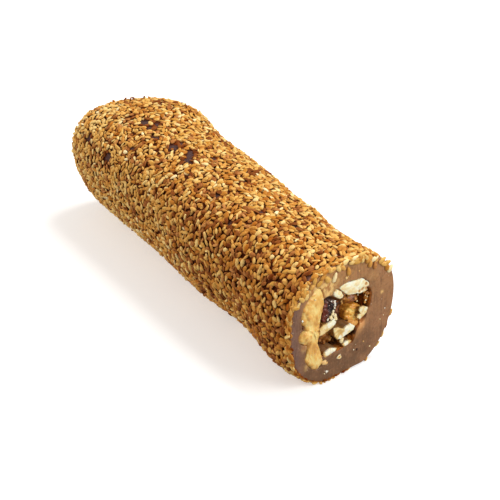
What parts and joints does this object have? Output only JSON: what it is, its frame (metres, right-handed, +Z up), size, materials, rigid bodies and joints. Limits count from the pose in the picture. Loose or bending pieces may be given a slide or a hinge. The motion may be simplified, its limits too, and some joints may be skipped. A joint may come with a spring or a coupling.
{
  "type": "walnut turkish delight bar",
  "caption": "Rounded bar of brown jelly rolled in toasted sesame seeds, with a walnut filling that shows at its cut end; it rests on a small flat underside.",
  "frame": {"origin": "middle of the flat underside, on the surface that the bar rests on", "axes": "+X along the bar towards the cut end, +Y to its side, +Z up"},
  "size_m": [0.1377, 0.0455, 0.042],
  "materials": {
    "sesame_coat": "toasted seeds with a soft oily sheen",
    "jelly": "cut starch jelly, slightly translucent, satin",
    "walnut_core": "syrup soaked walnut, satin",
    "walnut_flesh": "tan walnut, satin",
    "walnut_cream": "cut cream walnut, matt",
    "walnut_skin": "dark wet walnut skin, glossy"
  },
  "bodies": {
    "root": {"lokum_bar": "sesame_coat", "walnut_core": "walnut_core", "walnut_half": "walnut_flesh", "walnut_lump_back": "walnut_flesh", "walnut_cream_top": "walnut_cream", "walnut_tip_top": "walnut_cream", "walnut_chip_mid": "walnut_cream", "walnut_chip_right": "walnut_cream", "walnut_slab_right": "walnut_cream", "walnut_chip_low": "walnut_cream", "walnut_slab_low": "walnut_cream", "walnut_skin_left": "walnut_skin"}
  },
  "joints": []
}
